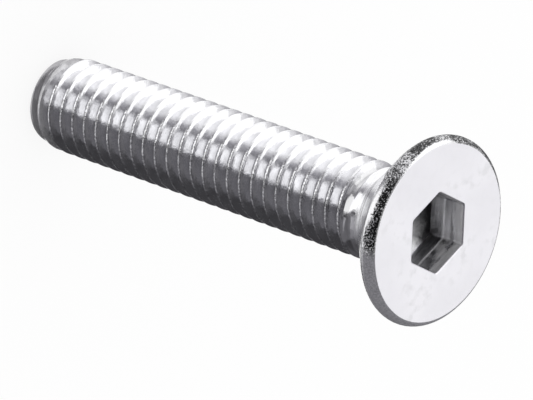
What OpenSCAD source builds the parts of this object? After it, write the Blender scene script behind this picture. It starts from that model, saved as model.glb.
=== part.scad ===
// Leveling screw: a countersunk head with a hexagon socket, on a shank with a
// right-hand machine thread. It is one solid piece of steel.
// It stands on its flat end: the origin is the middle of that end, and +Z runs
// along the axis to the head. All sizes are in millimetres.

/* [Shank] */
// Length from the flat end to the face of the head
length = 15.7; // [8:0.1:25]
// Diameter of the plain neck under the head
neck_d = 2.7; // [2.6:0.01:2.8]
// Length of the plain neck, from the cone to the first thread
neck_length = 0.35; // [0.2:0.05:2]
// Radius of the hollow fillet where the neck meets the cone
neck_fillet = 0.12; // [0.04:0.01:0.2]

/* [Thread] */
// Diameter over the crests
thread_d = 2.94; // [2.88:0.01:2.98]
// Distance from one crest to the next
pitch = 0.5; // [0.4:0.05:0.6]
// Length over which the crests fall to the neck
crest_runout = 0.2; // [0.1:0.05:1]
// Length over which the groove rises out of the neck
groove_runout = 0.26; // [0.2:0.05:1.5]
// Direction in which the groove leaves the neck, about the axis
thread_turn = 1; // [0:1:359]
// Straight steps in each turn of the groove
turn_steps = 24; // [16:2:30]

/* [Tip] */
// Diameter of the flat end
end_d = 2.26; // [2:0.02:2.4]
// Length of the taper from the flat end to full diameter
tip_taper = 0.75; // [0.4:0.05:1.5]
// Radius of the round between the flat end and the taper
tip_round = 0.2; // [0.05:0.01:0.25]

/* [Head] */
// Diameter of the head at its widest
head_d = 5.78; // [5.6:0.02:6.4]
// How far the widest part stands out beyond the edge of the flat face
rim_width = 0.175; // [0.1:0.005:0.25]
// Depth of the widest part below the face
rim_depth = 0.28; // [0.2:0.01:0.4]
// Angle of the cone under the head, from side to side
cone_angle = 90; // [82:1:100]

/* [Socket] */
// Hexagon across its flats
socket_flats = 2.2; // [1.8:0.02:2.4]
// Depth of the flats below the face
socket_depth = 1.27; // [0.8:0.01:1.4]
// Angle of the point at the bottom, from side to side
socket_point = 130; // [118:1:160]
// Width of the bevel round the mouth
socket_bevel = 0.04; // [0.02:0.01:0.1]
// Direction of one corner about the axis
socket_turn = 26; // [0:1:59]

/* [Hidden] */
$fn = 24;

steel = [0.80, 0.80, 0.82];
past = 0.1; // how far a cut runs past the surface that it opens

thread_r = thread_d / 2;
neck_r = neck_d / 2;
end_r = end_d / 2;
head_r = head_d / 2;
face_r = head_r - rim_width;

// The rim is one arc, from the edge of the face round the widest part to the cone
rim_round = (rim_width * rim_width + rim_depth * rim_depth) / (2 * rim_width);
rim_centre = [head_r - rim_round, length - rim_depth];

// The cone touches the rim's arc and runs down to the neck
cone_half = cone_angle / 2;
cone_top = rim_centre + rim_round * [cos(cone_half), -sin(cone_half)];
neck_top = cone_top[1] - (cone_top[0] - neck_r) / tan(cone_half);
neck_bottom = neck_top - neck_length;

// The hollow fillet touches the neck and the cone this far from their corner
fillet_reach = neck_fillet * tan(cone_half / 2);
fillet_centre = [neck_r + neck_fillet, neck_top - fillet_reach];
fillet_top = [neck_r, neck_top] + fillet_reach * [sin(cone_half), cos(cone_half)];

tip_centre = [end_r, tip_round];
taper_top = [thread_r, tip_taper];

// Thread form: flanks at 30 degrees, crests an eighth of a pitch wide
flank_slope = tan(30);
groove_depth = 0.6134 * pitch;
groove_half = pitch * 7 / 16; // half the groove's width at the crests
over_crest = 0.06 * pitch; // the cut starts this far outside the crests

// Where a line from the point p touches the outer side of a circle
function touch(centre, radius, p) =
  let (d = p - centre,
       a = atan2(d[1], d[0]) - acos(radius / norm(d)))
  centre + radius * [cos(a), sin(a)];

// Half of the turned blank, from the axis outwards
module blank_outline() {
  difference() {
    polygon([
      [0, 0],
      [end_r, 0],
      touch(tip_centre, tip_round, taper_top),
      taper_top,
      [thread_r, neck_bottom - crest_runout],
      [neck_r, neck_bottom],
      [neck_r, fillet_centre[1]],
      fillet_top,
      cone_top,
      [face_r, length],
      [0, length]
    ]);
    translate(fillet_centre) circle(neck_fillet);
  }
  translate(tip_centre) circle(tip_round);
  intersection() {
    translate(rim_centre) circle(rim_round);
    translate([0, neck_top]) square([head_d, length - neck_top]);
  }
}

// How far the groove's floor has risen at height z: none along the thread, clear of the crests
// at the neck
function groove_rise(z) =
  let (t = min(1, max(0, (z - neck_bottom) / groove_runout + 1)))
  t * t * (3 - 2 * t) * (groove_depth + over_crest / 2);

// The groove's section at step i below the neck: outer edge, floor, floor, outer edge
function groove_section(i) =
  let (z = neck_bottom - i * pitch / turn_steps,
       a = thread_turn - i * 360 / turn_steps,
       floor_r = thread_r - groove_depth + groove_rise(z),
       outer_r = max(thread_r, neck_r) + over_crest,
       floor_half = groove_half - (thread_r - floor_r) * flank_slope,
       outer_half = groove_half + (outer_r - thread_r) * flank_slope)
  [for (corner = [[outer_r, outer_half], [floor_r, floor_half],
                  [floor_r, -floor_half], [outer_r, -outer_half]])
    [corner[0] * cos(a), corner[0] * sin(a), z + corner[1]]];

// The thread's groove, swept along its helix from the neck to below the flat end
module groove() {
  steps = ceil((neck_bottom + pitch) / pitch * turn_steps);
  last = 4 * steps;
  sides = [for (i = [0 : steps - 1], j = [0 : 3])
    let (a = 4 * i + j, b = 4 * i + (j + 1) % 4)
    each [[a, b + 4, b], [a, a + 4, b + 4]]];
  polyhedron(
    points = [for (i = [0 : steps]) each groove_section(i)],
    faces = concat([[0, 1, 2, 3]], sides, [[last + 3, last + 2, last + 1, last]])
  );
}

// The hexagon socket: its bevelled mouth, its flats and the shallow point below them
module socket() {
  corner_r = socket_flats / sqrt(3);
  bevel_r = socket_bevel / cos(30);
  point_r = socket_flats / 2;
  translate([0, 0, length]) rotate(socket_turn) {
    translate([0, 0, -socket_depth])
      cylinder(h = socket_depth + past, r = corner_r, $fn = 6);
    translate([0, 0, -socket_bevel])
      cylinder(h = socket_bevel + past, r1 = corner_r,
               r2 = corner_r + bevel_r * (socket_bevel + past) / socket_bevel, $fn = 6);
    translate([0, 0, -socket_depth - point_r / tan(socket_point / 2)])
      cylinder(h = point_r / tan(socket_point / 2), r1 = 0, r2 = point_r);
  }
}

module screw() {
  color(steel)
    difference() {
      rotate_extrude() blank_outline();
      groove();
      socket();
    }
}

screw();
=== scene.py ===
# %% [markdown]
# A small leveling screw, dressed for its picture
#
# The real thing is one piece of bright steel: a countersunk head with a hexagon socket, a short
# plain neck, and a rolled machine thread that runs down to a rounded end. It is turned with a key
# to raise or lower what rests on it. The frame gives its size and place. This script builds its
# true surface again with finer detail: the helix, the worn edges and the marks of its making.

# %% Load the frame
import math

import bmesh
import bpy
from mathutils import Matrix, Vector


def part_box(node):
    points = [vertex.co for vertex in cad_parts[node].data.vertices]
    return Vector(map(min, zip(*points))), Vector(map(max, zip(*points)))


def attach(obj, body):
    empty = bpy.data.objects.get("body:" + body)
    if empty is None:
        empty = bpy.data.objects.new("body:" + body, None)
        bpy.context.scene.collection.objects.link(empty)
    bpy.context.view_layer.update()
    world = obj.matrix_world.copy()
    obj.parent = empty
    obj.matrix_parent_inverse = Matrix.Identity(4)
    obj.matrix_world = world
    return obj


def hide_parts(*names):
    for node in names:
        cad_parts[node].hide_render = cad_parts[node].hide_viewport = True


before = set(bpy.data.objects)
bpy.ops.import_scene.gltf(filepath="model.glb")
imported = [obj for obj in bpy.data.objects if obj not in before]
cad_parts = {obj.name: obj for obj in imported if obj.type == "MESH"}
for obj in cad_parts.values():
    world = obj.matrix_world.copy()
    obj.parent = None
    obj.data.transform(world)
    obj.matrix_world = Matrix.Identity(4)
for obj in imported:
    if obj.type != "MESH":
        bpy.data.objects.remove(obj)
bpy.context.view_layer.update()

# %% [markdown]
# The sizes
#
# A screw this small is easiest to think of in millimetres, so every size below is in millimetres
# and one factor turns the finished meshes into metres. The overall length and the head's width
# are read from the frame, and the other sizes are those that the frame was made with. Only the
# groove is a little narrower than there, which leaves room to round the crests.

# %% Sizes of the screw in millimetres
MM = 0.001

screw_low, screw_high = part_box("screw")
LENGTH = (screw_high[2] - screw_low[2]) / MM
HEAD_R = (screw_high[0] - screw_low[0]) / 2 / MM

NECK_R = 1.35
NECK_LENGTH = 0.35
NECK_FILLET = 0.12

CREST_R = 1.47
PITCH = 0.5
CREST_RUNOUT = 0.2
GROOVE_RUNOUT = 0.26
GROOVE_TURN = math.radians(1)
GROOVE_DEPTH = 0.6134 * PITCH
GROOVE_HALF = 0.43  # half the groove's width at the crests, in pitches
FLANK_SLOPE = math.tan(math.radians(30))

END_R = 1.13
TIP_TAPER = 0.75
TIP_ROUND = 0.2

RIM_WIDTH = 0.175
RIM_DEPTH = 0.28
CONE_HALF = math.radians(45)

SOCKET_FLAT = 1.1  # from the axis to a flat
SOCKET_DEPTH = 1.27
SOCKET_POINT = math.radians(65)  # from the axis to the side of the point
SOCKET_TURN = math.radians(26)
MOUTH_ROUND = 0.04

print(f"length {LENGTH:.2f} mm, head {2 * HEAD_R:.2f} mm, thread {2 * CREST_R:.2f} x {PITCH} mm")

# %% [markdown]
# Where the cone, the neck and the rim meet
#
# The head's outside is one outline turned about the axis: a hollow fillet, a straight cone and a
# rounded rim. The straight part touches both arcs, so their places follow from the sizes above.

# %% Work out the outline of the head
rim_round = (RIM_WIDTH**2 + RIM_DEPTH**2) / (2 * RIM_WIDTH)
rim_centre = (HEAD_R - rim_round, LENGTH - RIM_DEPTH)
cone_top = (
    rim_centre[0] + rim_round * math.cos(CONE_HALF),
    rim_centre[1] - rim_round * math.sin(CONE_HALF),
)
neck_top = cone_top[1] - (cone_top[0] - NECK_R) / math.tan(CONE_HALF)
neck_bottom = neck_top - NECK_LENGTH
fillet_bottom = neck_top - NECK_FILLET * math.tan(CONE_HALF / 2)
print(f"the thread ends {LENGTH - neck_bottom:.2f} mm below the face")

# %% [markdown]
# Columns that suit both a hexagon and a helix
#
# The screw is made as one closed skin of columns and rows. All of its parts share the same
# columns, so they join without a seam. The columns crowd together at the six corners of the
# socket, where the surface turns sharply, and spread out between them.

# %% Directions of the columns round the axis
COLUMNS = 120
CORNERS = 6
CORNER_CROWDING = 0.7


def column_angle(step):
    """The direction of a column, in radians about the axis, as step goes from 0 to COLUMNS."""
    even = 2 * math.pi * step / COLUMNS
    return SOCKET_TURN + even - CORNER_CROWDING / CORNERS * math.sin(CORNERS * even)


angles = [column_angle(step) for step in range(COLUMNS)]
print(f"{COLUMNS} columns, the closest {math.degrees(angles[1] - angles[0]):.2f} degrees apart")

# %% [markdown]
# Writing nodes as sums
#
# The thread and the finishes both follow rules, and in Blender a rule is a tree of nodes. A tree
# with a hundred Math nodes is hard to read as code, so what a node gives out is kept here as a
# wire, and a plain sum of wires and numbers adds the nodes by itself.


# %% A wire, and how it is fed to a node
class Wire:
    """What a node gives out. A sum that starts with one, such as wire * 2 + 1, adds Math nodes."""

    def __init__(self, socket):
        self.socket = socket
        self.tree = socket.id_data

    def __add__(self, other):
        return calc("ADD", self, other)

    def __sub__(self, other):
        return calc("SUBTRACT", self, other)

    def __rsub__(self, other):
        return calc("SUBTRACT", other, self)

    def __mul__(self, other):
        return calc("MULTIPLY", self, other)

    def __truediv__(self, other):
        return calc("DIVIDE", self, other)


def feed(socket, value):
    """Joins a wire to an input, or sets a number, a vector or a colour there."""
    if isinstance(value, Wire):
        value.tree.links.new(value.socket, socket)
    elif socket.type == "RGBA":
        socket.default_value = (*value, 1)
    else:
        socket.default_value = value


def add_node(tree, kind, **inputs):
    """Adds a node, feeds its inputs by name, with _ for a space, and gives its first output."""
    node = tree.nodes.new(kind)
    for name, value in inputs.items():
        feed(node.inputs[name.replace("_", " ")], value)
    return Wire(node.outputs[0])


def calc(operation, *values):
    """Adds one Math node to the tree that the wires among its values belong to."""
    tree = next(value.tree for value in values if isinstance(value, Wire))
    node = tree.nodes.new("ShaderNodeMath")
    node.operation = operation
    for socket, value in zip(node.inputs, values):
        feed(socket, value)
    return Wire(node.outputs[0])


def split(vector):
    """The X, Y and Z of a vector."""
    node = vector.tree.nodes.new("ShaderNodeSeparateXYZ")
    feed(node.inputs[0], vector)
    return [Wire(output) for output in node.outputs]


print("wires add, take away, multiply and divide")

# %% [markdown]
# The thread, wound by a Geometry Nodes tree
#
# A real thread is rolled: the blank turns between two ridged dies, which press a groove into it
# along a helix. The tree does the same with numbers. It takes a flat grid, wraps it round the
# axis so that its rows climb one pitch in each turn, and then presses every point in to the
# lower of two surfaces: the turned blank and the groove. Rows that follow the helix keep the
# thread sharp with few faces, and they crowd at its roots and crests, where the surface turns.

# %% Rows of one turn, in pitches from the middle of the groove up to the next
HALF_TURN_ROWS = [0.02, 0.042, 0.066, 0.09, 0.115, 0.145, 0.27, 0.39]
HALF_TURN_ROWS += [0.404, 0.414, 0.4245, 0.435, 0.449]
TURN_ROWS = [0.0] + HALF_TURN_ROWS + [1 - row for row in reversed(HALF_TURN_ROWS)]
print(len(TURN_ROWS), "rows in each turn")

# %% Inputs of the tree that winds the thread
# The line from the full diameter touches the round of the tip at this tilt
taper_run = (CREST_R - END_R, TIP_TAPER - TIP_ROUND)
taper_tilt = math.acos(TIP_ROUND / math.hypot(*taper_run)) - math.atan2(taper_run[1], taper_run[0])

THREAD_INPUTS = {
    "Pitch": PITCH,
    "Crest Radius": CREST_R,
    "Groove Depth": GROOVE_DEPTH,
    "Neck Radius": NECK_R,
    "Neck Height": neck_bottom,
    "Top Height": neck_bottom + 0.2,
    "Crest Run-out": CREST_RUNOUT,
    "Groove Run-out": GROOVE_RUNOUT,
    "Groove Turn": GROOVE_TURN,
    "End Radius": END_R,
    "End Round": TIP_ROUND,
    "Taper Tilt": taper_tilt,
    "Crest Edge": 0.012,
    "Root Round": 0.06,
    "Worn Length": 1.3,
    "Worn Edge": 0.07,
}

winder = bpy.data.node_groups.new("wound_thread", "GeometryNodeTree")
for name in THREAD_INPUTS:
    winder.interface.new_socket(name, in_out="INPUT", socket_type="NodeSocketFloat")
winder.interface.new_socket("Metal", in_out="INPUT", socket_type="NodeSocketMaterial")
winder.interface.new_socket("Thread", in_out="OUTPUT", socket_type="NodeSocketGeometry")
inputs = winder.nodes.new("NodeGroupInput").outputs
given = {socket.name: Wire(socket) for socket in inputs if socket.name}
pitch = given["Pitch"]
print(len(THREAD_INPUTS), "sizes, and a taper of", round(math.degrees(taper_tilt), 1), "degrees")

# %% A flat grid: x is the share of a turn, from 0 to 1, and y counts rows from below the end
TURNS_TO_SPARE = 3
rows = (math.ceil(THREAD_INPUTS["Top Height"] / PITCH) + TURNS_TO_SPARE) * len(TURN_ROWS)
grid = add_node(
    winder,
    "GeometryNodeMeshGrid",
    Size_X=1.0,
    Size_Y=float(rows),
    Vertices_X=COLUMNS + 1,
    Vertices_Y=rows + 1,
)
flat_x, flat_y, _ = split(add_node(winder, "GeometryNodeInputPosition"))
row = calc("ROUND", flat_y + rows / 2)

# The column's true direction, with the same crowding as the head's columns
even = (flat_x + 0.5) * (2 * math.pi)
angle = even - calc("SINE", even * CORNERS) * (CORNER_CROWDING / CORNERS) + SOCKET_TURN
wound = (angle - given["Groove Turn"]) / (2 * math.pi)
print(f"a grid of {COLUMNS} by {rows} faces")

# %% Heights that climb with the helix
turn = calc("FLOOR", (row + 0.5) / len(TURN_ROWS))
table = winder.nodes.new("GeometryNodeIndexSwitch")
table.data_type = "FLOAT"
while len(table.index_switch_items) < len(TURN_ROWS):
    table.index_switch_items.new()
feed(table.inputs["Index"], row - turn * len(TURN_ROWS))
for socket, place_in_turn in zip(table.inputs[1:], TURN_ROWS):
    feed(socket, place_in_turn)

# The turns to spare are pressed together at the end and at the neck, and merged later
crowded = turn - (TURNS_TO_SPARE - 0.5) + Wire(table.outputs[0])
first_crest = (calc("FRACT", given["Neck Height"] / pitch) - 0.5) * pitch
line = (crowded + wound) * pitch + first_crest
print(len(winder.nodes), "nodes so far")

# %% The turned blank: a round end, a taper, the full diameter, and a fall to the neck
end_round = given["End Round"]
tilt = given["Taper Tilt"]
touch_height = end_round - end_round * calc("SINE", tilt)
lowest = touch_height - end_round * (math.pi / 2 - tilt)
run = calc("MINIMUM", calc("MAXIMUM", line, lowest), given["Top Height"])
below = calc("MINIMUM", run - touch_height, 0.0)
above = calc("MAXIMUM", run - touch_height, 0.0)
lean = below / end_round - tilt
height = end_round + end_round * calc("SINE", lean) + above
tapered = given["End Radius"] + end_round * calc("COSINE", lean) + above * calc("TANGENT", tilt)

fall_start = given["Neck Height"] - given["Crest Run-out"]
fall = calc("MINIMUM", calc("MAXIMUM", (height - fall_start) / given["Crest Run-out"], 0.0), 1.0)
fallen = given["Crest Radius"] - fall * (given["Crest Radius"] - given["Neck Radius"])
blank = calc("MINIMUM", calc("MINIMUM", tapered, given["Crest Radius"]), fallen)
print(len(winder.nodes), "nodes so far")

# %% The groove, whose floor rises out of the metal before the neck
CLEAR_OF_CREST = 0.015
turns_up = (height - first_crest - wound * pitch) / pitch
aside = (calc("FRACT", turns_up) - 0.5) * pitch

rise_start = given["Neck Height"] - given["Groove Run-out"]
late = (height - aside - rise_start) / given["Groove Run-out"]
late = calc("MINIMUM", calc("MAXIMUM", late, 0.0), 1.0)
rise = late * late * (3.0 - late * 2.0) * (given["Groove Depth"] + CLEAR_OF_CREST)
groove_floor = given["Crest Radius"] - given["Groove Depth"] + rise
flank = given["Crest Radius"] - (pitch * GROOVE_HALF - calc("ABSOLUTE", aside)) / FLANK_SLOPE
groove = calc("SMOOTH_MAX", flank, groove_floor, given["Root Round"])

# The crests near the end are worn round, and the very end stays as it was turned
worn = calc("MINIMUM", 1.0 - height / given["Worn Length"], height / end_round)
worn = calc("MAXIMUM", worn, 0.0)
crest_edge = given["Crest Edge"] + worn * given["Worn Edge"]
radius = calc("SMOOTH_MIN", blank, groove, crest_edge)
print(len(winder.nodes), "nodes so far")

# %% Wrap the grid round the axis, close its seam, and turn millimetres into metres
SAME_PLACE = 0.0004  # points this close, in millimetres, are one point
wrapped = add_node(
    winder,
    "ShaderNodeCombineXYZ",
    X=radius * calc("COSINE", angle),
    Y=radius * calc("SINE", angle),
    Z=height,
)
moved = add_node(winder, "GeometryNodeSetPosition", Geometry=grid, Position=wrapped)
merged = add_node(winder, "GeometryNodeMergeByDistance", Geometry=moved, Distance=SAME_PLACE)
scaled = add_node(winder, "GeometryNodeTransform", Geometry=merged, Scale=(MM, MM, MM))
real = add_node(winder, "GeometryNodeRealizeInstances", Geometry=scaled)
metal = add_node(winder, "GeometryNodeSetMaterial", Geometry=real, Material=given["Metal"])
feed(winder.nodes.new("NodeGroupOutput").inputs["Thread"], metal)
print(f"the tree is ready, with {len(winder.nodes)} nodes")

# %% [markdown]
# The metal
#
# The steel is bright and hard, so nearly all that it shows is a reflection. What tells the
# finishes apart is how each tool left the surface, so there is one finish for each tool. They
# share a few helpers: a polished metal, noise at a size in millimetres, and ways to limit a mark
# to a part of the screw by its height, its distance from the axis or its side.


# %% A metal, and the point on it in millimetres
def new_metal(name):
    """A new metal, the inputs of its shader, and the point on the screw in millimetres."""
    material = bpy.data.materials.new(name)
    material.use_nodes = True
    surface = material.node_tree.nodes["Principled BSDF"].inputs
    feed(surface["Metallic"], 1.0)
    here = material.node_tree.nodes.new("ShaderNodeTexCoord").outputs["Object"]
    scale = material.node_tree.nodes.new("ShaderNodeVectorMath")
    scale.operation = "SCALE"
    feed(scale.inputs["Vector"], Wire(here))
    feed(scale.inputs["Scale"], 1 / MM)
    return material, surface, Wire(scale.outputs[0])


def noise(where, scale, detail=3.0):
    """Soft random lumps, about this many to the millimetre, with finer ones on top."""
    return add_node(where.tree, "ShaderNodeTexNoise", Vector=where, Scale=scale, Detail=detail)


def stretched(where, across, along):
    """The same place, scaled across and along the axis, for marks that run one way."""
    scale = (across, across, along)
    return add_node(where.tree, "ShaderNodeMapping", Vector=where, Scale=scale)


def from_axis(where):
    """How far a point lies from the screw's axis."""
    x, y, _ = split(where)
    return calc("SQRT", x * x + y * y)


def spread(value, low, high, to_low=0.0, to_high=1.0):
    """Maps a value from one range to another and keeps it inside the second."""
    ends = {"From_Min": low, "From_Max": high, "To_Min": to_low, "To_Max": to_high}
    return add_node(value.tree, "ShaderNodeMapRange", Value=value, **ends)


def blend(share, low, high):
    """A colour between two, by a share from 0 to 1."""
    node = share.tree.nodes.new("ShaderNodeMix")
    node.data_type = "RGBA"
    sockets = {socket.identifier: socket for socket in (*node.inputs, *node.outputs)}
    feed(sockets["Factor_Float"], share)
    feed(sockets["A_Color"], low)
    feed(sockets["B_Color"], high)
    return Wire(sockets["Result_Color"])


def bump(surface, marks, depth):
    """Raises and sinks the surface by its marks, to this depth in millimetres."""
    raised = add_node(marks.tree, "ShaderNodeBump", Height=marks, Distance=depth * MM)
    feed(surface["Normal"], raised)


def report(material):
    print(f"{material.name}: {len(material.node_tree.nodes)} nodes")


# %% [markdown]
# The rolled thread
#
# Polished dies press the thread, so it is almost a mirror. Close up it isn't clean: the flanks
# have thin stains, and the metal that the dies squeezed up to the crests stands there as fine
# beads. The roots are painted darker, as painted shade, and so are the gaps between the beads
# away from the bright box. The groove is darker where it runs out below the neck. The end was
# cropped from the wire and never polished, so it is duller than the rest.

# %% Rolled thread: stains, beads, painted shade in the roots and between the beads, a darker run-out
ROLLED_CLEAN = (0.93, 0.93, 0.95)
ROLLED_STAIN = (0.79, 0.79, 0.81)
ROOT_PAINTED_SHADE = (0.7, 0.7, 0.715)
BEAD_GAP_SHADE = (0.42, 0.42, 0.43)
RUNOUT_DARKER = (0.68, 0.68, 0.69)

# Where each begins and ends: by distance from the axis, by side, or by height
ROOT_SHADE_ZONE = (1.17, 1.28)
CREST_ZONE = (CREST_R - 0.02, CREST_R - 0.01)
BEAD_SHADE_SIDE = (-0.75, -0.4)
RUNOUT_HEIGHT = LENGTH - 2.49

rolled, surface, where = new_metal("rolled_steel")
x, _, z = split(where)
out = from_axis(where)
stains = spread(noise(stretched(where, 1.6, 3.2), 1.0, 5.0), 0.38, 0.62)
above_root_shade = spread(out, *ROOT_SHADE_ZONE)
# Painted shade: the roots of the groove are painted darker than the flanks
tint = blend(above_root_shade, ROOT_PAINTED_SHADE, blend(stains, ROLLED_STAIN, ROLLED_CLEAN))

# The crests carry beads, and away from the bright box the gaps between them are painted dark:
# painted shade that dims the crests' reflection on that side
bead_gaps_and_shade = spread(noise(where, 16.0, 2.0), 0.42, 0.58)
shaded_crest = spread(out, *CREST_ZONE) * spread(x, *BEAD_SHADE_SIDE)
tint = blend(shaded_crest, tint, blend(bead_gaps_and_shade, BEAD_GAP_SHADE, ROLLED_CLEAN))

# The groove is darker in a band where it runs out below the neck
off_runout = calc("ABSOLUTE", z - RUNOUT_HEIGHT)
near_runout = spread(off_runout, 0.12, 0.17, 1.0, 0.0)
in_groove = spread(out, 1.37, 1.4, 1.0, 0.0)
tint = blend(near_runout * in_groove, tint, RUNOUT_DARKER)
report(rolled)

# %% Rolled thread: the cropped end, the gloss and the dents
CROPPED = (0.4, 0.395, 0.41)
CROPPED_METAL = 0.65
CROPPED_ZONE = (0.7, 1.05)
ROLLED_GLOSS = (0.08, 0.2)

grain = noise(where, 5.0)
cropped = spread(z + grain * 0.4, *CROPPED_ZONE, 1.0, 0.0)
feed(surface["Base Color"], blend(cropped, tint, CROPPED))
feed(surface["Metallic"], spread(cropped, 0.0, 1.0, 1.0, CROPPED_METAL))
feed(surface["Roughness"], spread(grain, 0.35, 0.65, *ROLLED_GLOSS))

drawn = noise(stretched(where, 1.8, 9.0), 1.0, 4.0)
dents = noise(where, 7.0, 4.0) * 0.6
beads = noise(where, 26.0, 2.0) * spread(out, CREST_R - 0.03, CREST_R - 0.005, 0.0, 0.5)
bump(surface, drawn + dents + beads, depth=0.008)
report(rolled)

# %% [markdown]
# The turned neck
#
# The neck and the hollow above it keep the fine rings of the die and of the tool that cleaned
# them. Noise that is squeezed along the axis makes such rings, in the tone and in the surface.

# %% Turned neck
RING_LOW = (0.84, 0.84, 0.855)
RING_HIGH = (0.97, 0.97, 0.99)

turned, surface, where = new_metal("turned_steel")
tool_rings = noise(stretched(where, 0.8, 44.0), 1.0, 5.0)
feed(surface["Base Color"], blend(spread(tool_rings, 0.35, 0.65), RING_LOW, RING_HIGH))
feed(surface["Roughness"], 0.26)
bump(surface, tool_rings, depth=0.005)
report(turned)

# %% [markdown]
# The struck face
#
# The heading punch struck the face flat. It is satin, so it shows the light as one pale tone, and
# what breaks that tone is faint: soft smudges that gather in a few places and some small specks.

# %% Struck face
FACE_CLEAN = (0.92, 0.912, 0.95)
FACE_MARKED = (0.82, 0.815, 0.845)

struck, surface, where = new_metal("struck_steel")
clouds = noise(where, 0.8, 2.0)
smudges = spread(noise(where, 3.2, 4.0), 0.48, 0.66) * spread(clouds, 0.5, 0.62, 0.15, 1.0)
specks = spread(noise(where, 24.0, 2.0), 0.68, 0.76, 0.0, 0.5)
feed(surface["Base Color"], blend(calc("MAXIMUM", smudges, specks), FACE_CLEAN, FACE_MARKED))
feed(surface["Roughness"], spread(clouds, 0.35, 0.65, 0.4, 0.33))
bump(surface, noise(where, 22.0, 4.0), depth=0.0016)
report(struck)

# %% [markdown]
# The grainy rim and cone
#
# The rim flows freely when the head is struck, and no tool touches it, so it keeps the open grain
# of the wire. The grain isn't even. On one side pits reach well down the rim, black and white
# like coarse sand, and turn to a softer grey further round. Next to the face they leave a thin
# clear crescent. The side across from them has no pits but a dull grey skin. The cone below is
# clean and bright, with small specks and one painted dark line: painted shade of the small step
# where the die's own cone ended.
#
# Each of these is a share from 0 to 1 that grows or fades with the side (x and y) and with the
# depth below the face, and a little noise frays its edge.


# %% Greys along a value
def ramp(value, stops):
    """Greys along a value, from stops of (value, tone)."""
    node = value.tree.nodes.new("ShaderNodeValToRGB")
    feed(node.inputs["Fac"], value)
    points = node.color_ramp.elements
    while len(points) < len(stops):
        points.new(0.5)
    for point, (at, tone) in zip(points, stops):
        point.position = at
        point.color = (tone, tone, tone * 1.02, 1)
    return Wire(node.outputs["Color"])


# %% Grainy rim: how far down the pits reach
grainy, surface, where = new_metal("grainy_steel")
x, y, z = split(where)
deep = LENGTH - z
ragged = (noise(where, 14.0, 2.0) - 0.5) * 0.3

one_side = spread(x, -1.2, -0.85, 0.85, 0.24) - spread(x, -2.0, -1.5, 0.4, 0.0)
other_side = spread(x, 0.35, 0.6, 0.0, 0.1)
reach = one_side + other_side + ragged
within_reach = spread(reach - deep, 0.0, 0.05)

crescent_depth = spread(x, -2.3, -1.3, 0.08, 0.0) * spread(y, -1.0, -0.5, 1.0, 0.0)
frayed = deep + ragged * spread(x, -1.7, -1.4, 0.3, 0.0)
below_crescent = spread(frayed - crescent_depth, -0.01, 0.02)
off_far_side = spread(x + ragged, 1.05, 1.35, 1.0, 0.0)
pitted = within_reach * off_far_side * below_crescent
report(grainy)

# %% Grainy rim: the tone of the pits
SANDY_TONES = [(0.46, 0.02), (0.54, 0.1), (0.62, 0.95)]
SOFTER_TONES = [(0.38, 0.05), (0.54, 0.18), (0.65, 0.9)]

grains = noise(where, 22.0, 2.0)
brighter_below = spread(deep, 0.04, 0.26, -0.05, 0.07)
sandy = ramp(grains + brighter_below, SANDY_TONES)

patches = spread(noise(where, 1.5, 2.0), 0.4, 0.6, -0.04, 0.12) + spread(x, -2.1, -1.7, -0.06, 0.0)
light_patch = spread(calc("ABSOLUTE", x + 1.5), 0.1, 0.3, 0.1, 0.0)
softer = ramp(grains + (patches + light_patch), SOFTER_TONES)
pits = blend(spread(x, -1.3, -0.75, 1.0, 0.0), sandy, softer)
report(grainy)

# %% Clean cone, the painted shade of its die step, and the dull side of the rim
CONE_CLEAN = (0.86, 0.86, 0.875)
CONE_SPECK = (0.2, 0.2, 0.21)
DIE_STEP_SHADE = (0.1, 0.1, 0.105)
DIE_LINE_DEPTH = 1.62
SKIN_DARK = (0.2, 0.197, 0.215)
SKIN_LIGHT = (0.3, 0.295, 0.32)

specks = spread(grains + spread(x, -0.9, -0.2, 0.1, -0.1), 0.62, 0.68, 0.0, 0.7)
specks = specks * spread(deep, 0.09, 0.14)
# Painted shade: a dark ring on the cone stands for the shade of the small step where the die's own
# cone ended
off_line = calc("ABSOLUTE", deep + ragged * 0.3 - DIE_LINE_DEPTH)
clean = blend(specks, CONE_CLEAN, CONE_SPECK)
clean = blend(spread(off_line, 0.05, 0.09, 1.0, 0.0), clean, DIE_STEP_SHADE)

# The dull side scatters light as a grey skin does, so it is hardly a metal there
near_face = spread(deep + ragged * 0.5, 0.3, 0.38, 1.0, 0.0)
dull = spread(x + ragged, 0.95, 1.2) * near_face
skin_tone = blend(spread(grains, 0.36, 0.64), SKIN_DARK, SKIN_LIGHT)
report(grainy)

# %% Grainy rim and cone: all together
CONE_ROUGHNESS = 0.24
SKIN_METAL = 0.3

feed(surface["Base Color"], blend(pitted, blend(dull, clean, skin_tone), pits))
feed(surface["Metallic"], spread(dull, 0.0, 1.0, 1.0, SKIN_METAL))
rougher = calc("MAXIMUM", calc("MAXIMUM", dull * 0.5, CONE_ROUGHNESS), pitted * 0.5)
feed(surface["Roughness"], rougher)
bump(surface, pitted * grains + noise(where, 9.0, 3.0) * 0.1, depth=0.04)
report(grainy)

# %% [markdown]
# The pressed walls of the socket
#
# The punch drags the metal down as it goes in. The walls show it as bands at fixed depths, a
# bright ridge where the punch was shouldered, and upright streaks, some of them torn. Torn metal
# and the band at the mouth don't reflect. They scatter light like a dull skin, so the finish
# turns from metal to plain grey there.

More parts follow.
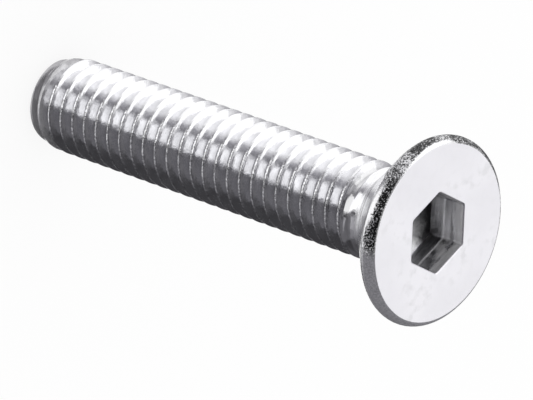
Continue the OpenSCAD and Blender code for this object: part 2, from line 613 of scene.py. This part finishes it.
# %% Pressed walls
# The tone at each share of the flats' depth
WALL_BANDS = [
    (0.0, 0.85),
    (0.32, 0.9),
    (0.36, 0.62),
    (0.55, 0.66),
    (0.575, 0.98),
    (0.6, 0.98),
    (0.63, 0.74),
    (0.95, 0.8),
    (0.98, 0.98),
]
STREAK = (0.45, 0.45, 0.46)
TORN_SKIN = (0.45, 0.445, 0.46)
RIDGE_SKIN = (0.85, 0.84, 0.87)
RIDGE_DEPTH = 0.76

pressed, surface, where = new_metal("pressed_steel")
_, _, z = split(where)
wander = (noise(where, 3.0, 3.0) - 0.5) * 0.1
depth = LENGTH - z + wander
streaks = noise(stretched(where, 1.0, 6.0), 1.0, 5.0)
tint = blend(spread(streaks, 0.4, 0.62, 0.0, 0.7), ramp(depth / SOCKET_DEPTH, WALL_BANDS), STREAK)

torn = spread(noise(stretched(where, 2.2, 1.6), 1.0, 5.0), 0.5, 0.62, 0.0, 0.5)
mouth = spread(depth, 0.28, 0.34, 0.55, 0.0)
ridge = spread(calc("ABSOLUTE", depth - RIDGE_DEPTH), 0.015, 0.035, 0.7, 0.0)
dull = calc("MAXIMUM", calc("MAXIMUM", torn, mouth), ridge)
feed(surface["Base Color"], blend(dull, tint, blend(ridge, TORN_SKIN, RIDGE_SKIN)))
feed(surface["Metallic"], spread(dull, 0.0, 1.0, 1.0, 0.0))
feed(surface["Roughness"], 0.28)
bump(surface, streaks + torn * 0.5, depth=0.02)
report(pressed)

# %% [markdown]
# The floor of the socket
#
# The floor of the socket is painted with shade, darkest in the corner between the floor and the
# walls, and less on one side.

# %% Punched floor
CORNER_SHADE_TONES = [(0.1, 0.9), (0.35, 0.5), (0.65, 0.3), (0.9, 0.05)]

punched, surface, where = new_metal("punched_steel")
x, _, _ = split(where)
# Painted shade: the floor darkens towards its corner with the walls, and less so on one side
uneven = (noise(where, 9.0, 4.0) - 0.5) * 0.25
less_shaded_side = spread(x, 0.3, 0.65, 0.0, 0.9)
corner_shade = from_axis(where) + uneven - less_shaded_side
feed(surface["Base Color"], ramp(corner_shade / SOCKET_FLAT, CORNER_SHADE_TONES))
feed(surface["Roughness"], 0.3)
bump(surface, noise(where, 8.0, 4.0), depth=0.01)
report(punched)

FINISHES = [rolled, turned, struck, grainy, pressed, punched]
print(len(FINISHES), "finishes")

# %% [markdown]
# Wind the thread
#
# A modifier runs the tree on an empty mesh, and the result is taken off as a plain mesh.

# %% Run the tree
carrier = bpy.data.objects.new("thread_carrier", bpy.data.meshes.new("thread_carrier"))
bpy.context.scene.collection.objects.link(carrier)
winding = carrier.modifiers.new("winding", "NODES")
winding.node_group = winder
for socket in winder.interface.items_tree:
    if socket.in_out == "INPUT":
        winding[socket.identifier] = THREAD_INPUTS.get(socket.name, rolled)
evaluated = carrier.evaluated_get(bpy.context.evaluated_depsgraph_get())
thread_mesh = bpy.data.meshes.new_from_object(evaluated)
carrier.modifiers.remove(winding)
bpy.data.objects.remove(carrier)
rolled_slots = [FINISHES.index(rolled)] * len(thread_mesh.polygons)
thread_mesh.polygons.foreach_set("material_index", rolled_slots)
print("thread:", len(thread_mesh.vertices), "points,", len(thread_mesh.polygons), "faces")

# %% [markdown]
# The head, ring by ring
#
# The head was forged in a die and its socket pressed in by a hexagonal punch. Here each ring of
# the skin is one row of points, from the neck up over the cone and the rim, across the flat
# face, and down into the socket to its point. A ring has a radius for each column, which is
# constant outside, follows a hexagon inside, and blends from one to the other across the face.

# %% Rings of the head
CORNER_REACH = 0.985  # how much of a sharp corner is left
CORNER_SOFTNESS = 0.015
rings = []
ring_finish = []


def round_ring(radius, height, finish):
    rings.append([(radius * math.cos(a), radius * math.sin(a), height) for a in angles])
    ring_finish.append(finish)


def hexagon_radius(angle, flat):
    """From the axis to a hexagon with this half width across flats and slightly worn corners."""
    sixth = math.pi / 3
    off_middle = (angle - SOCKET_TURN) % sixth - sixth / 2
    sharp = flat / math.cos(off_middle)
    worn = CORNER_REACH * flat / math.cos(sixth / 2)
    mixed = max(CORNER_SOFTNESS - abs(sharp - worn), 0) / CORNER_SOFTNESS
    return min(sharp, worn) - mixed * mixed * CORNER_SOFTNESS / 4


def hexagon_ring(flat, height, finish, roundness=0.0, circle=0.0):
    row = []
    for a in angles:
        radius = hexagon_radius(a, flat) * (1 - roundness) + circle * roundness
        row.append((radius * math.cos(a), radius * math.sin(a), height))
    rings.append(row)
    ring_finish.append(finish)


socket_corner = hexagon_radius(SOCKET_TURN, SOCKET_FLAT)
print(f"socket: {2 * SOCKET_FLAT:.2f} mm across flats, {2 * socket_corner:.2f} mm across corners")

# %% The neck, its fillet and the cone
FILLET_STEPS = 8
CONE_ROWS = 5
neck_start = THREAD_INPUTS["Top Height"]
round_ring(NECK_R, neck_start, turned)
round_ring(NECK_R, (neck_start + fillet_bottom) / 2, turned)
for i in range(FILLET_STEPS + 1):
    turn = CONE_HALF * i / FILLET_STEPS
    radius = NECK_R + NECK_FILLET * (1 - math.cos(turn))
    round_ring(radius, fillet_bottom + NECK_FILLET * math.sin(turn), turned)

cone_bottom = (radius, rings[-1][0][2])
for i in range(1, CONE_ROWS):
    share = i / CONE_ROWS
    radius = cone_bottom[0] + share * (cone_top[0] - cone_bottom[0])
    round_ring(radius, cone_bottom[1] + share * (cone_top[1] - cone_bottom[1]), grainy)
print(len(rings), "rings up to the rim")

# %% The rim and the soft edge of the face
RIM_ROWS = 20
EDGE_ROUND = 0.015
face_r = HEAD_R - RIM_WIDTH
flat_r = face_r - 2.5 * EDGE_ROUND
rim_end = math.asin((RIM_DEPTH - EDGE_ROUND) / rim_round)
for i in range(RIM_ROWS + 1):
    turn = -CONE_HALF + (rim_end + CONE_HALF) * i / RIM_ROWS
    radius = rim_centre[0] + rim_round * math.cos(turn)
    round_ring(radius, rim_centre[1] + rim_round * math.sin(turn), grainy)
round_ring(face_r - EDGE_ROUND / 3, LENGTH - EDGE_ROUND / 4, grainy)
round_ring(face_r - EDGE_ROUND, LENGTH, grainy)
round_ring(flat_r, LENGTH, struck)
print(f"the face is {2 * face_r:.2f} mm across")

# %% Across the face to the mouth of the socket
FACE_ROWS = 8
MOUTH_ROWS = 4
SUPPORT = 0.015  # how far off the mouth's edge a ring lies that keeps it crisp
mouth_flat = SOCKET_FLAT + MOUTH_ROUND
for i in range(1, FACE_ROWS + 1):
    roundness = 1 - i / FACE_ROWS
    hexagon_ring(mouth_flat + SUPPORT, LENGTH, struck, roundness=roundness, circle=flat_r)
for i in range(MOUTH_ROWS + 1):
    turn = math.pi / 2 * i / MOUTH_ROWS
    flat = mouth_flat - MOUTH_ROUND * math.sin(turn)
    hexagon_ring(flat, LENGTH - MOUTH_ROUND * (1 - math.cos(turn)), struck)
print(f"the mouth is {2 * mouth_flat:.2f} mm across its flats")

# %% Down the walls, which step in as (depth, how far in), and to the point of the floor
WALL_STEPS = [
    (MOUTH_ROUND + SUPPORT, 0.0),
    (0.3, 0.0),
    (0.41, 0.0),
    (0.44, 0.012),
    (0.6, 0.008),
    (0.72, 0.012),
    (0.745, 0.022),
    (0.775, 0.022),
    (1.0, 0.022),
    (SOCKET_DEPTH, 0.022),
]
FLOOR_ROWS = 8
FLOOR_EDGE = 0.03  # how far inside the flats the floor begins
point_drop = SOCKET_FLAT / math.tan(SOCKET_POINT)
for depth, inward in WALL_STEPS:
    hexagon_ring(SOCKET_FLAT - inward, LENGTH - depth, pressed)
for i in range(FLOOR_ROWS + 1):
    share = i / FLOOR_ROWS
    radius = (SOCKET_FLAT - FLOOR_EDGE) * (1 - share)
    round_ring(radius, LENGTH - SOCKET_DEPTH - share * point_drop, punched)
print(len(rings), "rings, the last", round(SOCKET_DEPTH + point_drop, 2), "mm below the face")


# %% Turn rows of points into a mesh
def skin(name, rows, finishes):
    points = [tuple(MM * c for c in point) for row in rows for point in row]
    faces = []
    slots = []
    for lower in range(len(rows) - 1):
        for column in range(COLUMNS):
            here = lower * COLUMNS + column
            beside = lower * COLUMNS + (column + 1) % COLUMNS
            faces.append((here, beside, beside + COLUMNS, here + COLUMNS))
            slots.append(FINISHES.index(finishes[lower + 1]))
    mesh = bpy.data.meshes.new(name)
    mesh.from_pydata(points, [], faces)
    for material in FINISHES:
        mesh.materials.append(material)
    mesh.polygons.foreach_set("material_index", slots)
    return mesh


END_ROWS = 4
end_rows = []
for i in range(END_ROWS + 1):
    radius = END_R * i / END_ROWS
    end_rows.append([(radius * math.cos(a), radius * math.sin(a), 0.0) for a in angles])
end_mesh = skin("end", end_rows, [rolled] * len(end_rows))
head_mesh = skin("head", rings, ring_finish)
print("head:", len(head_mesh.polygons), "faces, end:", len(end_mesh.polygons), "faces")

# %% [markdown]
# One closed skin
#
# The head, the thread and the flat end meet in shared rows. Merging the points that coincide
# makes one skin with no seam, and the normals are worked out again so that they all point
# outwards. Edges sharper than a set angle stay crisp, and everything else is shaded smooth.

# %% Merge what coincides
CRISP_ANGLE = math.radians(38)

body = bmesh.new()
for mesh in (head_mesh, end_mesh, thread_mesh):
    body.from_mesh(mesh)
bmesh.ops.remove_doubles(body, verts=body.verts, dist=SAME_PLACE * MM)
bmesh.ops.dissolve_degenerate(body, dist=SAME_PLACE / 4 * MM, edges=body.edges)
bmesh.ops.recalc_face_normals(body, faces=body.faces)
open_edges = sum(1 for edge in body.edges if not edge.is_manifold)
volume = body.calc_volume() / MM**3

screw_mesh = bpy.data.meshes.new("screw_skin")
body.to_mesh(screw_mesh)
body.free()
for material in FINISHES:
    screw_mesh.materials.append(material)
for face in screw_mesh.polygons:
    face.use_smooth = True
screw_mesh.set_sharp_from_angle(angle=CRISP_ANGLE)
triangles = sum(len(face.vertices) - 2 for face in screw_mesh.polygons)
print(f"screw: {triangles} triangles, {open_edges} open edges, {volume:.1f} mm3")

# %% Put the screw in the scene
screw = bpy.data.objects.new("leveling_screw", screw_mesh)
bpy.context.scene.collection.objects.link(screw)
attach(screw, "root")
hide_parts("screw")
print("the screw stands in place of its CAD node")

# %% [markdown]
# The camera
#
# The camera looks down on the head from the front and is rolled over, so that the standing screw
# lies across the frame with its head to the right. It is far away with a long lens, because the
# shank hardly narrows towards its end.

# %% Camera
FRAME_ACROSS = 533
FOCAL_PIXELS = 6772.5
SENSOR = 36.0
CAMERA_FROM = Vector((0.0, -154.434, LENGTH + 122.404)) * MM
CAMERA_AT = Vector((0.769, 0.0, LENGTH - 6.551)) * MM
CAMERA_ROLL = math.radians(109.65)
NEAREST = 0.01
FARTHEST = 10.0

camera_data = bpy.data.cameras.new("camera")
camera_data.sensor_width = SENSOR
camera_data.lens = FOCAL_PIXELS / FRAME_ACROSS * SENSOR
camera_data.clip_start = NEAREST
camera_data.clip_end = FARTHEST
camera = bpy.data.objects.new("camera", camera_data)
bpy.context.scene.collection.objects.link(camera)
bpy.context.scene.camera = camera
look = (CAMERA_AT - CAMERA_FROM).to_track_quat("-Z", "Y").to_matrix().to_4x4()
roll = Matrix.Rotation(CAMERA_ROLL, 4, "Z")
camera.matrix_world = Matrix.Translation(CAMERA_FROM) @ look @ roll
print("lens", round(camera_data.lens, 1), "mm")

# %% [markdown]
# The light
#
# Polished metal shows the room, so a photographer builds a small room for it: white all round,
# a bright box on one side, and grey and dark cards where the form needs an edge. Here the cards
# are curved patches of one sphere round the screw, so two numbers each way say where a card
# stands, and none overlap. Some are below the screw, because its thread and cone look down as
# much as up. The camera doesn't see them, and they cast no shadow: only reflections show them.
# A card of tone 1 is as white as the air, and the brightest are a little above. Dark cards are
# slightly cool, as shade is in daylight.


# %% How a card is made
CARD_DISTANCE = 0.3
CARD_COLUMNS = 24
CARD_ROWS = 12


def toned(name, tone):
    """A material that glows evenly at this tone."""
    material = bpy.data.materials.new(name)
    material.use_nodes = True
    tree = material.node_tree
    tree.nodes.clear()
    cool = 1 - min(tone, 1)
    colour = (tone, (1 - 0.02 * cool) * tone, (1 + 0.06 * cool) * tone)
    glow = add_node(tree, "ShaderNodeEmission", Color=colour, Strength=1.0)
    feed(tree.nodes.new("ShaderNodeOutputMaterial").inputs["Surface"], glow)
    return material


def steps(low, high, count):
    return [math.radians(low + (high - low) * i / count) for i in range(count + 1)]


def direction(turn, rise):
    across = math.cos(rise)
    return Vector((across * math.cos(turn), across * math.sin(turn), math.sin(rise)))


def card(name, tone, around, up):
    """A patch of the sphere round the screw: around and up are its directions in degrees."""
    points = []
    for rise in steps(*up, CARD_ROWS):
        points += [direction(turn, rise) * CARD_DISTANCE for turn in steps(*around, CARD_COLUMNS)]
    wide = CARD_COLUMNS + 1
    corners = [j * wide + i for j in range(CARD_ROWS) for i in range(CARD_COLUMNS)]
    faces = [(at, at + 1, at + wide + 1, at + wide) for at in corners]
    mesh = bpy.data.meshes.new(name)
    mesh.from_pydata(points, [], faces)
    mesh.materials.append(toned(name, tone))
    piece = bpy.data.objects.new(name, mesh)
    bpy.context.scene.collection.objects.link(piece)
    piece.visible_camera = False
    piece.visible_shadow = False
    piece.visible_diffuse = False


print("cards stand", CARD_DISTANCE, "m from the screw")

# %% Cards: name, tone, from and to round the screw, from and to above the horizon
CARDS = [
    # The dark wall on the right, for the head and the upper sides of the thread
    ("dark_wall_edge", 0.11, (-72, -57), (22, 78)),
    ("dark_foot", 0.08, (-82, -57), (0, 22)),
    ("dark_wall", 0.14, (-57, -3), (0, 78)),
    ("dark_wall_end", 0.05, (-3, 62), (0, 55)),
    ("dark_wall_top", 0.08, (-3, 62), (55, 78)),
    ("dark_wall_rim", 0.17, (-82, -72), (22, 74)),
    # Grey cards in front, which the rim and the inside of the socket show
    ("front_top", 0.15, (-124, -82), (46, 74)),
    ("front", 0.2, (-120, -82), (12, 46)),
    ("front_left", 0.5, (-142, -120), (12, 46)),
    ("front_left_end", 0.5, (-155, -142), (22, 46)),
    ("front_foot", 0.4, (-120, -82), (-10, 12)),
    ("spot", 0.27, (-129, -120), (-56, 12)),
    ("spot_fade", 0.42, (-136, -129), (-56, 12)),
    ("spot_edge", 0.62, (-142, -136), (-56, 12)),
    # The bright box on the left
    ("left_top", 0.68, (205, 236), (46, 74)),
    ("key", 1.4, (125, 205), (46, 74)),
    ("key_low", 1.4, (136, 190), (34, 46)),
    ("key_foot", 1.3, (136, 190), (22, 34)),
    ("key_end", 1.4, (190, 205), (22, 46)),
    ("left", 1.18, (136, 211), (-56, 22)),
    ("left_low", 1.18, (125, 136), (-56, 5)),
    ("left_edge", 0.92, (211, 218), (-56, 22)),
    # Behind and overhead, mostly grey
    ("back_low", 0.32, (62, 118), (-45, 16)),
    ("back_low_end", 0.32, (118, 125), (-45, 5)),
    ("back_under", 1.2, (62, 125), (-90, -45)),
    ("back_edge", 0.4, (104, 118), (16, 33)),
    ("back_edge_mid", 0.52, (118, 127), (5, 33)),
    ("back_edge_end", 0.8, (127, 136), (5, 33)),
    ("top_left", 0.3, (-150, -70), (74, 90)),
    ("top_right", 0.08, (-70, 30), (74, 90)),
    # Below the screw, for the cone and the lower sides: bright in front, dark on the right
    ("low_front_edge", 0.7, (-119, -113), (-30, -10)),
    ("low_front_left", 1.22, (-120, -113), (-90, -30)),
    ("low_front", 1.22, (-113, -75), (-90, -10)),
    ("low_front_fade", 0.35, (-75, -70), (-47, -10)),
    ("deep_front", 1.2, (-75, -70), (-90, -47)),
    ("low_left", 0.4, (125, 238), (-90, -56)),
    ("low_dark", 0.15, (-70, 0), (-30, 0)),
    ("low_gap", 0.07, (-70, -60), (-47, -30)),
    ("low_side", 0.38, (-60, -25), (-47, -30)),
    ("low_side_mid", 0.24, (-25, 0), (-47, -30)),
    ("low_side_end", 0.1, (0, 18), (-47, -30)),
    ("deep_side", 1.1, (-70, -25), (-90, -47)),
    ("deep_side_mid", 0.6, (-25, 0), (-90, -47)),
    ("deep_side_end", 0.25, (0, 18), (-90, -47)),
    ("low_dark_end", 0.06, (0, 18), (-30, 0)),
    ("low_far", 0.08, (18, 62), (-90, 0)),
]
for name, tone, around, up in CARDS:
    card(name, tone, around, up)
print(len(CARDS), "cards")

# %% [markdown]
# The floor and the air round it
#
# The floor is a plain pale sheet. To the camera it is mostly an even white, and the rest is lit
# paper, which keeps the screw's shadow. Light that the floor throws back on things comes from
# the paper alone, so the white adds none to the screw. The floor is hidden from the screw's
# reflections, because the cards below the screw stand for it there.

# %% Floor
FLOOR_SIDE = 4.0
PAPER = (0.96, 0.96, 0.96)
WHITE = (1.0, 1.0, 1.0)
EVEN_WHITE = 0.85

half = FLOOR_SIDE / 2
floor_corners = [(-half, -half, 0), (half, -half, 0), (half, half, 0), (-half, half, 0)]
floor_mesh = bpy.data.meshes.new("floor")
floor_mesh.from_pydata(floor_corners, [], [(0, 1, 2, 3)])

floor_material = bpy.data.materials.new("floor")
floor_material.use_nodes = True
tree = floor_material.node_tree
tree.nodes.clear()
path = tree.nodes.new("ShaderNodeLightPath").outputs
seen = calc("MAXIMUM", Wire(path["Is Camera Ray"]), Wire(path["Is Glossy Ray"]))
seen = calc("MAXIMUM", seen, Wire(path["Is Transmission Ray"]))
mix = tree.nodes.new("ShaderNodeMixShader")
feed(mix.inputs[0], seen * EVEN_WHITE)
feed(mix.inputs[1], add_node(tree, "ShaderNodeBsdfDiffuse", Color=PAPER))
feed(mix.inputs[2], add_node(tree, "ShaderNodeEmission", Color=WHITE, Strength=1.0))
feed(tree.nodes.new("ShaderNodeOutputMaterial").inputs["Surface"], Wire(mix.outputs[0]))
floor_mesh.materials.append(floor_material)

floor = bpy.data.objects.new("floor", floor_mesh)
bpy.context.scene.collection.objects.link(floor)
floor.visible_glossy = False
print("floor:", FLOOR_SIDE, "m square")

# %% White air, and colours shown as they are written
world = bpy.data.worlds.new("world")
bpy.context.scene.world = world
world.use_nodes = True
background = world.node_tree.nodes["Background"].inputs
feed(background["Color"], WHITE)
feed(background["Strength"], 1.0)
bpy.context.scene.view_settings.view_transform = "Standard"
print("world strength", background["Strength"].default_value)
